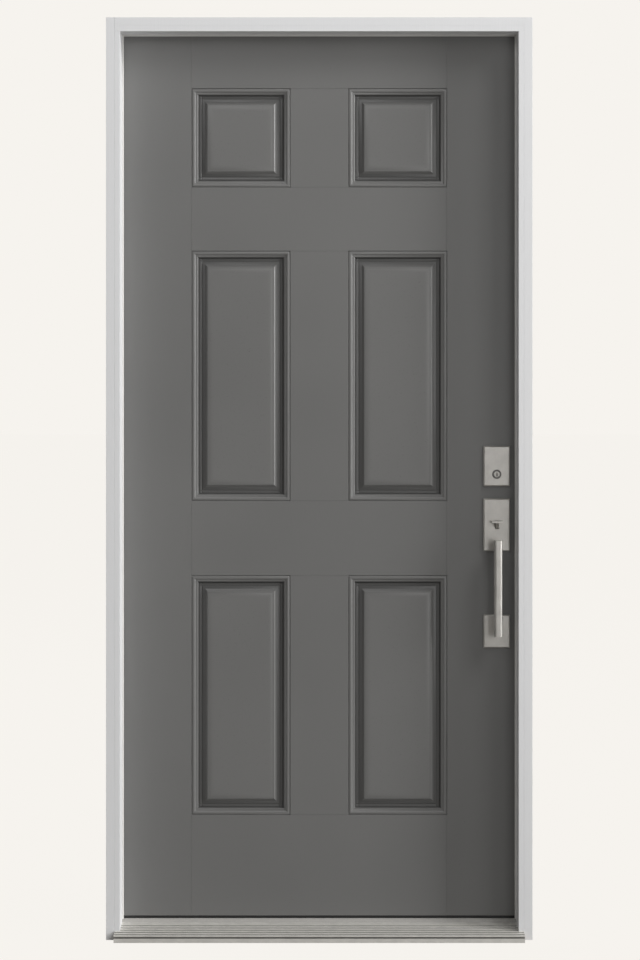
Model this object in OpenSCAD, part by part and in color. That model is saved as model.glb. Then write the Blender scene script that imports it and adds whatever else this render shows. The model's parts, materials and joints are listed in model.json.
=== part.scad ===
// Panelled front door, pre-hung in its own frame. It opens inwards on three butt hinges.
// Millimetres. X runs from the hinge side to the lock side, Y from outside to inside, Z up.
// The origin is at floor level, on the middle of the frame, in the plane of its outer edges.

/* [Frame] */
// Overall width of the frame
unit_w = 955; // [860:1:1150]
// Overall height of the frame, from the floor
unit_h = 2066; // [1700:1:2500]
// Depth of the jambs through the wall
jamb_depth = 116; // [105:1:170]
// Thickness of the jamb boards
jamb_t = 19; // [16:0.5:25]
// How far the stop stands in from the board
stop_t = 11.9; // [10:0.1:16]
// Gap for the weatherstrip between the stops and the leaf
seal_gap = 3; // [2:0.1:5]

/* [Sill] */
// How far the nosing stands out in front of the frame
nose_out = 28; // [15:1:50]
// Height of the nosing
nose_h = 16; // [14:0.5:22]
// Height of the ramp where it meets the cap
ramp_h = 26; // [23:0.1:32]
// Height of the top of the cap
cap_h = 32; // [29:0.1:40]
// Wall of the sill extrusion
sill_wall = 3.2; // [2.8:0.1:4]
// Number of grip grooves along the ramp
ramp_grooves = 5; // [2:1:8]

/* [Leaf] */
// Thickness of the leaf
slab_t = 44.5; // [40:0.1:45]
// Gap between the leaf and each jamb
side_gap = 3.5; // [3:0.1:5]
// Gap over the leaf
head_gap = 2; // [2:0.1:5]
// Gap between the cap and the underside of the leaf
foot_gap = 6.4; // [3:0.1:8]
// Thickness of the two face skins
skin_t = 2; // [1.5:0.1:3]
// Width of the wooden stiles and rails inside
core_frame_w = 38; // [30:1:50]

/* [Panels] */
// Width of the flat stile beside the panels
stile_w = 164.7; // [150:0.1:180]
// Width of the flat mullion between the panels
mullion_w = 130.6; // [100:0.1:150]
// Height of the flat under the bottom panels
bottom_rail_h = 227.6; // [180:0.1:260]
// Height of the flat between the bottom and middle panels
lock_rail_h = 168; // [150:1:200]
// Height of the flat between the middle and top panels
frieze_rail_h = 143; // [110:1:170]
// Height of the flat over the top panels
top_rail_h = 130.5; // [100:0.1:150]
// Height of the top panels
top_panel_h = 225.5; // [150:0.1:260]
// Share of the other panels' height that the bottom ones take
low_share = 0.4892; // [0.4:0.001:0.6]
// Depth of the moulding's groove below the face
mould_d = 8.5; // [6:0.1:9]
// Depth of the raised field below the face
field_d = 0.8; // [0.5:0.1:3]

/* [Hinges] */
// Height of a hinge
hinge_h = 102; // [89:0.5:115]
// Thickness of a hinge leaf
leaf_t = 2.5; // [2:0.1:3]
// Width of a hinge leaf within the rabbet
leaf_w = 38; // [30:0.5:40]
// Outer radius of the knuckles
knuckle_r = 6; // [5.5:0.1:6.4]
// Radius of the hinge pin
pin_r = 3; // [2.5:0.1:3.5]
// Distance from the top and the foot of the leaf to the outer hinges
hinge_inset = 178; // [150:1:250]

/* [Locks] */
// Distance from the leaf's edge to the lock axes
backset = 53; // [50:0.5:60]
// Height of the deadbolt axis from the floor
bolt_z = 1039.5; // [950:0.5:1150]
// Distance from the deadbolt axis down to the latch axis
lock_spacing = 139.7; // [139.7:0.1:145]
// Radius of the cross bores through the leaf
cross_bore_r = 27; // [26:0.1:27.5]
// Radius of the bolt and latch cases
case_r = 12.5; // [12:0.1:13]
// Throw of the deadbolt
bolt_throw = 25.4; // [20:0.1:26]
// Throw of the latch
latch_throw = 12; // [10:0.1:13]
// Width of the plates
plate_w = 60; // [58:0.5:66]
// Height of the outer deadbolt plate
bolt_plate_h = 91.2; // [84:0.1:100]
// Height of the upper handle plate
upper_plate_h = 119; // [110:1:150]
// Height of the lower handle plate
lower_plate_h = 75.4; // [60:0.1:90]
// Thickness of the outer plates
plate_t = 9; // [7:0.5:12]
// Length of the grip bar
grip_h = 215.7; // [200:0.1:280]
// Width of the grip bar
grip_w = 18.4; // [15:0.1:24]
// Distance from the face of the leaf to the front of the grip bar
grip_out = 62; // [50:1:65]
// Thickness of the grip bar, front to back
grip_t = 13; // [10:0.5:16]
// Length of the inside lever
lever_l = 118; // [90:1:140]

/* [Hidden] */
$fn = 64;
fit = 0.05;        // running clearance on a radius
slip = 0.2;        // clearance beside a sliding bolt
skim = 0.3;        // clearance of a seal or a bolt tip
over = 1;          // how far a cutter runs past a face

// frame
half_w = unit_w / 2;
board_in = half_w - jamb_t;                 // inner face of a jamb board
stop_in = board_in - stop_t;                // inner face of a stop
rabbet_depth = slab_t + seal_gap;           // depth of the rabbet that the leaf closes into
shoulder_y = jamb_depth - rabbet_depth;     // the stop's face towards the leaf
head_under = unit_h - jamb_t;               // underside of the head board
head_stop = head_under - stop_t;            // underside of the head stop

// leaf
slab_in = jamb_depth;                       // inner face, flush with the jambs
slab_out = slab_in - slab_t;                // outer face
slab_w = 2 * (board_in - side_gap);
slab_x = slab_w / 2;
slab_top = head_under - head_gap;
slab_foot = cap_h + foot_gap;
slab_h = slab_top - slab_foot;
slab_mid = (slab_in + slab_out) / 2;

// panels
panel_w = (slab_w - 2 * stile_w - mullion_w) / 2;
panel_x = (mullion_w + panel_w) / 2;
tall_h = slab_h - bottom_rail_h - lock_rail_h - frieze_rail_h - top_rail_h - top_panel_h;
low_h = tall_h * low_share;
mid_h = tall_h - low_h;
low_z = slab_foot + bottom_rail_h;
mid_z = low_z + low_h + lock_rail_h;
top_z = mid_z + mid_h + frieze_rail_h;
panel_rows = [[low_z, low_h], [mid_z, mid_h], [top_z, top_panel_h]];

// weatherstrip section, measured from the board towards the opening
strip_face = slab_out - skim;               // where the seal ends short of the leaf
bulb_r = 3.4;
bulb_out = 3.8;                             // how much of the bulb shows past the stop
kerf_a = 4;
kerf_w = 1.4;
kerf_d = 8.5;
strip_start = 2;

// sill
ramp_end = shoulder_y - 10.5;               // where the ramp meets the cap
ramp_rise = (ramp_h - nose_h) / (ramp_end + nose_out);
cap_seat = ramp_h - 5.9;                    // top of the channel under the cap
cap_nose = slab_out - 0.5;                  // where the cap's top becomes flat
sill_back = jamb_depth - 2;
sill_shell_front = -nose_out + 6;           // inner face of the nosing's wall
lip_h = 2.6;
undercut_h = 4.2;
undercut_d = 4.2;
groove_w = 6;
groove_d = 1.6;
groove_lead = 0.58;                         // from the nosing to the first groove, in pitches

// hinges
pin_x = -(board_in - side_gap / 2);
pin_y = jamb_depth + 7;
knuckles = 5;
knuckle_gap = 0.4;
hinge_low = slab_foot + hinge_inset + hinge_h / 2;
hinge_high = slab_top - hinge_inset - hinge_h / 2;
hinge_zs = [hinge_high, (hinge_low + hinge_high) / 2, hinge_low];
hinge_screw_z = [-0.38, -0.14, 0.14, 0.38]; // along the leaf, as shares of its height
hinge_screw_y = [0.32, 0.68, 0.32, 0.68];   // across the leaf, as shares of its width
wood_screw_r = 2.3;
wood_screw_head = 4.4;
hinge_screw_l = 26;

// locks
lock_x = slab_x - backset;
latch_z = bolt_z - lock_spacing;
case_l = backset + 16;
face_w = 25.4;
face_h = 57;
face_t = 2;
face_screw_z = 21;
bolt_y = 14.3;                              // deadbolt section
bolt_h = 17.5;
latch_y = 12.4;                             // latch section
latch_h = 15.6;
latch_nose = 10;
bolt_tail = bolt_throw + 12.6;              // length of a bolt behind the leaf's edge
latch_tail = latch_throw + 11;
strike_h = 60;
strike_t = 1.6;
strike_w = 26;
pocket_margin = 1.5;
latch_pocket_d = 14;
cylinder_r = 10.4;
cylinder_proud = 1.6;
ring_gap = 1.1;                             // open ring between the cylinder's face and the plate
ring_d = 4;                                 // depth of that ring
plug_r = 6.35;
plug_end = slab_mid - case_r - skim;        // the cylinder ends short of the bolt case
tail_w = 6;
tail_t = 2;
spindle_w = 8;
through_r = 2.4;
through_head = 4.6;
through_z = 19.5;                           // from an axis to its through-screws
plate_bevel = 2.6;
bolt_plate_mid = bolt_z + 18.2;             // the deadbolt plate sits high on its cylinder
upper_plate_mid = latch_z + 25;
grip_top = latch_z - 6.7;
lower_plate_mid = grip_top - grip_h + 6.4;
grip_front = slab_out - grip_out;
post_w = 13;
post_h = 15;
grip_bolt_r = 3;
inner_plate_t = 8;
inner_bolt_plate_h = 66;
rose_h = 66;
turn_stem_r = 6;
lever_neck_r = 9;
lever_out = 46;
thumb_w = 25;
thumb_axis_y = slab_out - 4;
thumb_axis_z = latch_z + 24;
thumb_pad_z = latch_z + 31;
thumb_reach = 29;
thumb_slot_w = 9;
thumb_pin_r = 2;
thumb_pin_l = 20;
thumb_hub_r = 3.5;

// ---------------------------------------------------------------- helpers

// A box from its low corner to its high corner
module span(lo, hi) {
    translate(lo) cube(hi - lo);
}

// A cylinder along X from x0 to x1
module rod_x(x0, x1, y, z, r, r2 = undef) {
    translate([x0, y, z]) rotate([0, 90, 0])
        cylinder(h = x1 - x0, r1 = r, r2 = is_undef(r2) ? r : r2);
}

// A cylinder along Y from y0 to y1
module rod_y(y0, y1, x, z, r, r2 = undef) {
    translate([x, y0, z]) rotate([-90, 0, 0])
        cylinder(h = y1 - y0, r1 = r, r2 = is_undef(r2) ? r : r2);
}

// A cylinder along Z from z0 to z1
module rod_z(z0, z1, x, y, r) {
    translate([x, y, z0]) cylinder(h = z1 - z0, r = r);
}

// Extrudes a section drawn in (y, z) along X
module along_x(x0, x1) {
    translate([x0, 0, 0]) rotate([90, 0, 90]) linear_extrude(x1 - x0) children();
}

// Turns an edge profile [[inset, depth], ...] into the closed section of a span w wide
function profile_span(w, edge) =
    concat(edge, [for (i = [len(edge) - 1 : -1 : 0]) [w - edge[i][0], edge[i][1]]]);

// A block w by h whose four sides all have the same edge profile, mitred at the corners.
// Depth runs along +Y from y = 0; the block's low corner is at the origin in X and Z.
module mitred(w, h, edge) {
    intersection() {
        linear_extrude(h) polygon(profile_span(w, edge));
        rotate([90, 0, 90]) linear_extrude(w)
            polygon([for (p = profile_span(h, edge)) [p[1], p[0]]]);
    }
}

// A countersunk wood screw along +X, its head's face at the origin
module wood_screw(grow = 0, l = hinge_screw_l) {
    cylinder(h = l + grow, r = wood_screw_r + grow);
    cylinder(h = wood_screw_head - wood_screw_r, r1 = wood_screw_head + grow, r2 = wood_screw_r + grow);
}

line_w = 0.5;       // V line on a face where two boards meet

// The section of a V line along Z, on the face y = 0
module face_line() {
    polygon([[-line_w, -line_w], [0, line_w], [line_w, -line_w]]);
}

// ---------------------------------------------------------------- panel mouldings

// The points of an arc in (inset, depth)
function arc(cx, cy, rx, ry, a0, a1, n) =
    [for (i = [0 : n]) let(a = a0 + (a1 - a0) * i / n) [cx + rx * cos(a), cy + ry * sin(a)]];

quirk_w = 1.0;
quirk_d = 2.2;
quirk_pad = 0.9;                            // extra skin behind the quirk
bead_start = 1.6;
bead_top = 5.4;
bead_flat = 0.3;                            // half the width of the bead's crest
bead_r = 4.85;
fillet_start = 9.8;
fillet_end = 11.6;
fillet_d = 2.75;
ovolo_end = 16;
ovolo_drop = 6.9;
crevice_u = 17.5;                           // first of the two crevices beside the land
land_start = 18.4;
land_end = 23.4;
groove_u = 24.1;
cove_start = 25.2;
cove_r = 26;
cove_lean = 8;
cove_steep = 36;
cove_end = cove_start + cove_r * (sin(cove_steep) - sin(cove_lean));
cove_top_d = mould_d - 1 - cove_r * (cos(cove_lean) - cos(cove_steep));
ease_u = 39.2;
slope_end = 43.2;
field_start = 45.6;
field_u = 51;

// The sunk part starts at the top of the bead and ends in the first crevice
bowl_edge = concat(
    [[bead_top + bead_flat, -over]],
    arc(bead_top + bead_flat, bead_r, bead_r, bead_r, -90, -32, 5),
    arc(fillet_end, ovolo_drop, ovolo_end - fillet_end, ovolo_drop - fillet_d, -90, -10, 4),
    [[crevice_u - 0.4, mould_d - 0.8], [crevice_u - 0.1, mould_d]]);

// From that crevice a land falls to the second one, and the raised field climbs by a cove and a slope
raised_edge = concat(
    [[crevice_u + 0.1, mould_d + over], [crevice_u + 0.2, mould_d], [land_start, mould_d - 1.3],
     [land_end, mould_d - 0.6], [groove_u, mould_d - 0.1]],
    arc(cove_start - cove_r * sin(cove_lean), mould_d - 1 - cove_r * cos(cove_lean),
        cove_r, cove_r, 90 - cove_lean, 90 - cove_steep, 5),
    [[cove_end + 0.3, cove_top_d - 0.25], [ease_u, cove_top_d - 0.35], [slope_end, field_d + 0.4],
     [slope_end + 0.5, field_d + 0.35], [field_start, field_d + 0.1], [field_u, field_d]]);

// The sharp quirk round the outside of the bead
quirk_out = [[-over * quirk_w / quirk_d, -over], [quirk_w, quirk_d]];
quirk_in = concat([[quirk_w + 0.4, quirk_d + 0.01], [bead_start + 0.2, quirk_d - 0.5]],
    arc(bead_top - bead_flat, bead_r, bead_r, bead_r, -133, -90, 4),
    [[bead_top - bead_flat, -over]]);

// What the moulding takes up in the foam behind it
back_bowl = [[bead_start, 0], [bead_start, skin_t], [fillet_start - skin_t / 2, fillet_d + skin_t - 0.3],
             [fillet_end - skin_t / 2, fillet_d + skin_t], [ovolo_end - 2.6, ovolo_drop - 0.3],
             [crevice_u - 2.5, mould_d + skin_t]];
back_raised = [[groove_u + 1.4, mould_d + skin_t + over], [groove_u + 1.4, mould_d + skin_t],
               [cove_start + 2, mould_d + skin_t], [cove_end + 2, cove_top_d + skin_t],
               [field_u + 1, field_d + skin_t]];

module panel_front(w, h) {
    difference() {
        mitred(w, h, bowl_edge);
        mitred(w, h, raised_edge);
    }
    difference() {
        mitred(w, h, quirk_out);
        mitred(w, h, quirk_in);
    }
}

module panel_back(w, h) {
    rim = 1.5;
    difference() {
        mitred(w, h, back_bowl);
        mitred(w, h, back_raised);
    }
    span([-rim, skin_t / 2, -rim], [w + rim, skin_t + quirk_pad, h + rim]);
}

// The fronts of the six panels, as cutters at the outer face
module panels_front() {
    for (row = panel_rows, side = [-1, 1])
        translate([side * panel_x - panel_w / 2, slab_out, row[0]]) panel_front(panel_w, row[1]);
}

// Fine V lines at the joints of stiles, rails and mullion, on the outer face
module leaf_joint_lines() {
    joint_x = panel_x + panel_w / 2 - quirk_w;
    joint_end = panel_x - panel_w / 2 + quirk_w;
    for (side = [-1, 1])
        translate([side * joint_x, slab_out, slab_foot - over])
            linear_extrude(slab_h + 2 * over) face_line();
    for (row = panel_rows, z = [row[0] + quirk_w, row[0] + row[1] - quirk_w])
        along_x(-joint_end, joint_end) translate([slab_out, z]) rotate(-90) face_line();
}

// The room that the six panels take up behind the outer face
module panels_back() {
    for (row = panel_rows, side = [-1, 1])
        translate([side * panel_x - panel_w / 2, slab_out, row[0]]) panel_back(panel_w, row[1]);
}

// Copies what is at the outer face to the inner face
module to_inner_face() {
    translate([0, 2 * slab_mid, 0]) mirror([0, 1, 0]) children();
}

// ---------------------------------------------------------------- frame

// The V lines round the stops at the hinge side: along the jamb board and under the head stop
module side_face_lines() {
    translate([-board_in, 0, -over]) linear_extrude(unit_h + 2 * over) face_line();
    along_x(-board_in, -stop_in) translate([0, head_stop]) rotate(-90) face_line();
}

// Everything of the sill that the stops are coped over
module sill_outline() {
    polygon([[-nose_out, -over], [-nose_out, nose_h], [ramp_end, ramp_h],
             [cap_nose - 1, cap_h - 0.4], [cap_nose, cap_h],
             [jamb_depth + over, cap_h], [jamb_depth + over, -over]]);
}

// One jamb with its outer face at -half_w: board, stop, kerf, coped foot
module jamb_blank() {
    difference() {
        union() {
            span([-half_w, 0, 0], [-board_in, jamb_depth, unit_h]);
            span([-board_in, 0, 0], [-stop_in, shoulder_y, head_stop]);
        }
        along_x(-board_in, -stop_in + over) sill_outline();
        side_face_lines();
        span([-board_in + kerf_a, shoulder_y - kerf_d, -over],
             [-board_in + kerf_a + kerf_w, shoulder_y + over, unit_h]);
        frame_screw_set(fit);
        fixing_holes();
    }
}

fixing_r = 2.6;
fixing_y = jamb_depth - 10;
fixing_pitch = unit_h * 0.5;
fixing_z = unit_h * 0.52;

// Installation holes through a jamb board, inside the rabbet
module fixing_holes() {
    for (s = [-1, 1])
        rod_x(-half_w - over, -board_in + over, fixing_y, fixing_z + s * fixing_pitch / 2, fixing_r);
}

module hinge_jamb() {
    color("gainsboro") difference() {
        jamb_blank();
        for (z = hinge_zs) {
            span([-board_in - leaf_t, jamb_depth - leaf_w - fit, z - hinge_h / 2 - fit],
                 [-board_in + over, jamb_depth + over, z + hinge_h / 2 + fit]);
            hinge_jamb_screw_row(z, fit);
        }
    }
}

module strike_jamb() {
    color("gainsboro") difference() {
        mirror([1, 0, 0]) jamb_blank();
        strike_mortise(latch_z);
        strike_mortise(bolt_z);
        strike_screw_pair(latch_z, fit);
        strike_screw_pair(bolt_z, fit);
        pocket(latch_z, latch_y, latch_h, latch_pocket_d);
        pocket(bolt_z, bolt_y, bolt_h, jamb_t + over);
    }
}

// A bolt pocket in the strike jamb, d deep from the board's face
module pocket(z, w, h, d) {
    span([board_in - over, slab_mid - w / 2 - pocket_margin, z - h / 2 - pocket_margin],
         [board_in + d, slab_mid + w / 2 + pocket_margin, z + h / 2 + pocket_margin]);
}

module strike_mortise(z) {
    span([board_in - over, slab_mid - strike_w / 2 - fit, z - strike_h / 2 - fit],
         [board_in + strike_t, jamb_depth + over, z + strike_h / 2 + fit]);
}

module head_jamb() {
    color("gainsboro") difference() {
        union() {
            span([-board_in, 0, head_under], [board_in, jamb_depth, unit_h]);
            span([-board_in, 0, head_stop], [board_in, shoulder_y, head_under]);
        }
        span([-board_in - over, shoulder_y - kerf_d, head_under - kerf_a - kerf_w],
             [board_in + over, shoulder_y + over, head_under - kerf_a]);
        along_x(-board_in - over, board_in + over) translate([0, head_under]) rotate(-90) face_line();
        side_face_lines();
        mirror([1, 0, 0]) side_face_lines();
        frame_screw_set(fit);
        mirror([1, 0, 0]) frame_screw_set(fit);
    }
}

frame_screw_l = 60;
frame_screw_ys = [jamb_depth * 0.25, jamb_depth * 0.8];
sill_screw_z = nose_h * 0.55;

// Four screws through one jamb board: two into the head and two into the sill
module frame_screw_set(grow = 0) {
    for (y = frame_screw_ys, z = [unit_h - jamb_t / 2, sill_screw_z])
        translate([-half_w, y, z]) rotate([0, 90, 0]) wood_screw(grow, frame_screw_l);
}

module frame_screws() {
    color("silver") {
        frame_screw_set();
        mirror([1, 0, 0]) frame_screw_set();
    }
}

// ---------------------------------------------------------------- sill

module sill_extrusion() {
    shell_drop = sill_wall + 0.05;
    groove_pitch = (ramp_end + nose_out) / (ramp_grooves + 1);
    color("darkgray") difference() {
        along_x(-board_in, board_in) polygon([
            [-nose_out, 0], [-nose_out, nose_h - lip_h - undercut_h],
            [-nose_out + undercut_d, nose_h - lip_h - undercut_h], [-nose_out + undercut_d, nose_h - lip_h],
            [-nose_out, nose_h - lip_h], [-nose_out, nose_h - 0.8], [-nose_out + 0.8, nose_h],
            [ramp_end, ramp_h], [ramp_end, cap_seat], [sill_back, cap_seat],
            [sill_back, cap_seat - sill_wall], [ramp_end - sill_wall, cap_seat - sill_wall],
            [ramp_end - sill_wall, ramp_h - shell_drop],
            [sill_shell_front, nose_h + ramp_rise * 6 - shell_drop], [sill_shell_front, 0]]);
        for (i = [0 : ramp_grooves - 1]) {
            y = -nose_out + groove_pitch * (i + groove_lead) - groove_w / 2;
            z = nose_h + ramp_rise * (y + nose_out);
            span([-board_in - over, y, z - groove_d], [board_in + over, y + groove_w, z + over]);
        }
    }
}

module sill_substrate() {
    shell_drop = sill_wall + 0.05;
    color("burlywood") difference() {
        along_x(-board_in, board_in) polygon([
            [sill_shell_front, 0], [sill_shell_front, nose_h + ramp_rise * 6 - shell_drop],
            [ramp_end - sill_wall, ramp_h - shell_drop], [ramp_end - sill_wall, cap_seat - sill_wall],
            [sill_back, cap_seat - sill_wall], [sill_back, 0]]);
        frame_screw_set(fit);
        mirror([1, 0, 0]) frame_screw_set(fit);
    }
}

module sill_cap() {
    color("darkgray") along_x(-board_in, board_in) polygon([
        [ramp_end + slip, cap_seat], [ramp_end + slip, ramp_h],
        [cap_nose - 1, cap_h - 0.4], [cap_nose, cap_h],
        [sill_back - 1, cap_h], [sill_back, cap_h - 1], [sill_back, cap_seat]]);
}

// ---------------------------------------------------------------- seals

// Section in (distance from the board, y): a bulb, a web over the shoulder and a leaf in the kerf
module strip_section() {
    difference() {
        union() {
            translate([stop_t + bulb_out - bulb_r, strip_face - bulb_r]) circle(bulb_r);
            translate([strip_start, shoulder_y])
                square([stop_t + bulb_out - bulb_r - strip_start, strip_face - shoulder_y]);
        }
        translate([-over, 0]) square([stop_t + over, shoulder_y]);
    }
    translate([kerf_a + 0.1, shoulder_y - kerf_d + 0.5]) square([kerf_w - 0.2, kerf_d]);
}

module side_strip() {
    difference() {
        translate([-board_in, 0, cap_h]) linear_extrude(head_under - strip_start - cap_h) strip_section();
        span([-stop_in, 0, head_stop], [-stop_in + 2 * bulb_out, shoulder_y, head_under]);
        span([-board_in - over, 0, head_stop], [-stop_in, shoulder_y, unit_h]);
    }
}

module weatherstrip_hinge_side() {
    color("white") side_strip();
}

module weatherstrip_strike_side() {
    color("white") mirror([1, 0, 0]) side_strip();
}

module weatherstrip_head() {
    x = stop_in - bulb_out - 0.1;
    color("white") translate([-x, 0, head_under]) rotate([0, 90, 0])
        linear_extrude(2 * x) strip_section();
}

pad_t = 1.6;
pad_w = 25;
pad_h = 55;

module corner_seal_pads() {
    color("dimgray") for (s = [0, 1])
        mirror([s, 0, 0])
            span([-board_in, slab_out + 1, cap_h],
                 [-board_in + pad_t, slab_out + 1 + pad_w, cap_h + pad_h]);
}

// ---------------------------------------------------------------- strikes

module strike_plate(z, w, h) {
    difference() {
        union() {
            span([board_in, slab_mid - strike_w / 2, z - strike_h / 2],
                 [board_in + strike_t, jamb_depth, z + strike_h / 2]);
            span([board_in, jamb_depth, z - strike_h / 4],
                 [board_in + strike_t, jamb_depth + 3, z + strike_h / 4]);
        }
        span([board_in - over, slab_mid - w / 2 - slip - 0.6, z - h / 2 - slip - 0.6],
             [board_in + strike_t + over, slab_mid + w / 2 + slip + 0.6, z + h / 2 + slip + 0.6]);
        strike_screw_pair(z, fit);
    }
}

strike_screw_z = 22;

module strike_screw_pair(z, grow = 0) {
    for (s = [-1, 1])
        translate([board_in, slab_mid, z + s * strike_screw_z]) rotate([0, 90, 0]) wood_screw(grow, 15);
}

module latch_strike_plate() {
    color("silver") strike_plate(latch_z, latch_y, latch_h);
}

module deadbolt_strike_plate() {
    color("silver") strike_plate(bolt_z, bolt_y, bolt_h);
}

module strike_screws() {
    color("silver") {
        strike_screw_pair(latch_z);
        strike_screw_pair(bolt_z);
    }
}

// ---------------------------------------------------------------- hinges

knuckle_h = hinge_h / knuckles;

// The knuckles whose place along the barrel is even or odd
module knuckle_row(z, first) {
    for (i = [first : 2 : knuckles - 1])
        rod_z(z - hinge_h / 2 + i * knuckle_h + knuckle_gap / 2,
              z - hinge_h / 2 + (i + 1) * knuckle_h - knuckle_gap / 2, pin_x, pin_y, knuckle_r);
}

// A leaf lies in its mortise from x0 to x0 + leaf_t and reaches the pin at its own knuckles
module hinge_leaf(z, x0, first) {
    difference() {
        union() {
            span([x0, jamb_depth - leaf_w, z - hinge_h / 2],
                 [x0 + leaf_t, jamb_depth + 0.4, z + hinge_h / 2]);
            for (i = [first : 2 : knuckles - 1])
                span([x0, jamb_depth - 1, z - hinge_h / 2 + i * knuckle_h + knuckle_gap / 2],
                     [x0 + leaf_t, pin_y, z - hinge_h / 2 + (i + 1) * knuckle_h - knuckle_gap / 2]);
            knuckle_row(z, first);
        }
        rod_z(z - hinge_h, z + hinge_h, pin_x, pin_y, pin_r + fit);
        children();
    }
}

module hinge_screw_at(z, x, turn, grow) {
    for (i = [0 : 3])
        translate([x, jamb_depth - leaf_w * hinge_screw_y[i], z + hinge_h * hinge_screw_z[i]])
            rotate([0, turn, 0]) wood_screw(grow, turn < 0 ? jamb_t - 2 : hinge_screw_l);
}

module hinge_jamb_screw_row(z, grow = 0) {
    hinge_screw_at(z, -board_in, -90, grow);
}

module hinge_door_screw_row(z, grow = 0) {
    hinge_screw_at(z, -slab_x, 90, grow);
}

module jamb_leaf(z) {
    color("silver") hinge_leaf(z, -board_in - leaf_t, 0) hinge_jamb_screw_row(z, fit);
}

module door_leaf(z) {
    color("silver") hinge_leaf(z, -slab_x, 1) hinge_door_screw_row(z, fit);
}

module hinge_pin(z) {
    cap = 3;
    color("silver") {
        rod_z(z - hinge_h / 2 - over, z + hinge_h / 2 + over, pin_x, pin_y, pin_r);
        translate([pin_x, pin_y, z + hinge_h / 2])
            cylinder(h = cap, r1 = knuckle_r - 0.4, r2 = knuckle_r - 1.6);
        translate([pin_x, pin_y, z - hinge_h / 2 - cap])
            cylinder(h = cap, r1 = knuckle_r - 1.6, r2 = knuckle_r - 0.4);
    }
}

module hinge_jamb_screws() {
    color("silver") for (z = hinge_zs) hinge_jamb_screw_row(z);
}

module hinge_door_screws() {
    color("silver") for (z = hinge_zs) hinge_door_screw_row(z);
}

// The mortises of the door leaves, cut from whatever reaches the hinge edge
module door_hinge_mortises() {
    for (z = hinge_zs) {
        span([-slab_x - over, jamb_depth - leaf_w - fit, z - hinge_h / 2 - fit],
             [-slab_x + leaf_t, jamb_depth + over, z + hinge_h / 2 + fit]);
        hinge_door_screw_row(z, fit);
    }
}

// ---------------------------------------------------------------- leaf

lock_block_w = 85;
lock_block_z0 = bolt_z - 400;
lock_block_z1 = bolt_z + 80;
stile_joint = 60;                           // from a lock axis to the stile's joint
core_in = slab_x - core_frame_w;

// The cross bores, the edge bores and the grip bolt's hole
module lock_bores() {
    for (z = [bolt_z, latch_z]) {
        rod_y(slab_out - over, slab_in + over, lock_x, z, cross_bore_r);
        rod_x(slab_x - case_l - 1, slab_x + over, slab_mid, z, case_r + fit);
        span([slab_x - face_t, slab_mid - face_w / 2 - fit, z - face_h / 2 - fit],
             [slab_x + over, slab_mid + face_w / 2 + fit, z + face_h / 2 + fit]);
        face_screw_pair(z, fit);
    }
    rod_y(slab_out - over, slab_in + over, lock_x, lower_plate_mid, grip_bolt_r + fit);
}

module exterior_skin() {
    color("dimgray") difference() {
        union() {
            span([-slab_x, slab_out, slab_foot], [slab_x, slab_out + skin_t, slab_top]);
            panels_back();
        }
        panels_front();
        leaf_joint_lines();
        lock_bores();
    }
}

module interior_skin() {
    color("dimgray") difference() {
        to_inner_face() union() {
            span([-slab_x, slab_out, slab_foot], [slab_x, slab_out + skin_t, slab_top]);
            panels_back();
        }
        to_inner_face() panels_front();
        to_inner_face() leaf_joint_lines();
        lock_bores();
        door_hinge_mortises();
    }
}

module foam_core() {
    color("khaki") difference() {
        span([-core_in, slab_out + skin_t, slab_foot + core_frame_w],
             [core_in, slab_in - skin_t, slab_top - core_frame_w]);
        panels_back();
        to_inner_face() panels_back();
        span([core_in - lock_block_w, slab_out, lock_block_z0], [core_in + over, slab_in, lock_block_z1]);
    }
}

module hinge_stile() {
    color("burlywood") difference() {
        span([-slab_x, slab_out + skin_t, slab_foot], [-core_in, slab_in - skin_t, slab_top]);
        door_hinge_mortises();
    }
}

// The lock stile is finger-jointed from three lengths. The middle one takes both locks
module lock_stile_length(z0, z1) {
    span([core_in, slab_out + skin_t, z0], [slab_x, slab_in - skin_t, z1]);
}

module lock_stile_head() {
    color("burlywood") lock_stile_length(bolt_z + stile_joint, slab_top);
}

module lock_stile_middle() {
    color("burlywood") difference() {
        lock_stile_length(latch_z - stile_joint, bolt_z + stile_joint);
        lock_bores();
    }
}

module lock_stile_foot() {
    color("burlywood") lock_stile_length(slab_foot, latch_z - stile_joint);
}

module lock_block() {
    color("burlywood") difference() {
        span([core_in - lock_block_w, slab_out + skin_t, lock_block_z0],
             [core_in, slab_in - skin_t, lock_block_z1]);
        panels_back();
        to_inner_face() panels_back();
        lock_bores();
    }
}

module top_rail() {
    color("burlywood")
        span([-core_in, slab_out + skin_t, slab_top - core_frame_w], [core_in, slab_in - skin_t, slab_top]);
}

module bottom_rail() {
    color("burlywood")
        span([-core_in, slab_out + skin_t, slab_foot],
             [core_in, slab_in - skin_t, slab_foot + core_frame_w]);
}

sweep_inset = 2;
fin_t = 1.6;
fins = 4;

module door_sweep() {
    y0 = slab_out + sweep_inset;
    y1 = slab_in - sweep_inset;
    x = slab_x - sweep_inset;
    color("black") {
        span([-x, y0, slab_foot - 1.8], [x, y1, slab_foot]);
        for (i = [0 : fins - 1]) {
            y = y0 + (y1 - y0 - fin_t) * i / (fins - 1);
            span([-x, y, cap_h + skim], [x, y + fin_t, slab_foot - 1]);
        }
    }
}

// ---------------------------------------------------------------- plates

// A plate on the outer face with bevelled front edges
module outer_plate(mid_z, h) {
    translate([lock_x - plate_w / 2, slab_out - plate_t, mid_z - h / 2])
        mitred(plate_w, h, [[0, plate_t], [0, plate_bevel], [plate_bevel, 0]]);
}

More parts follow.
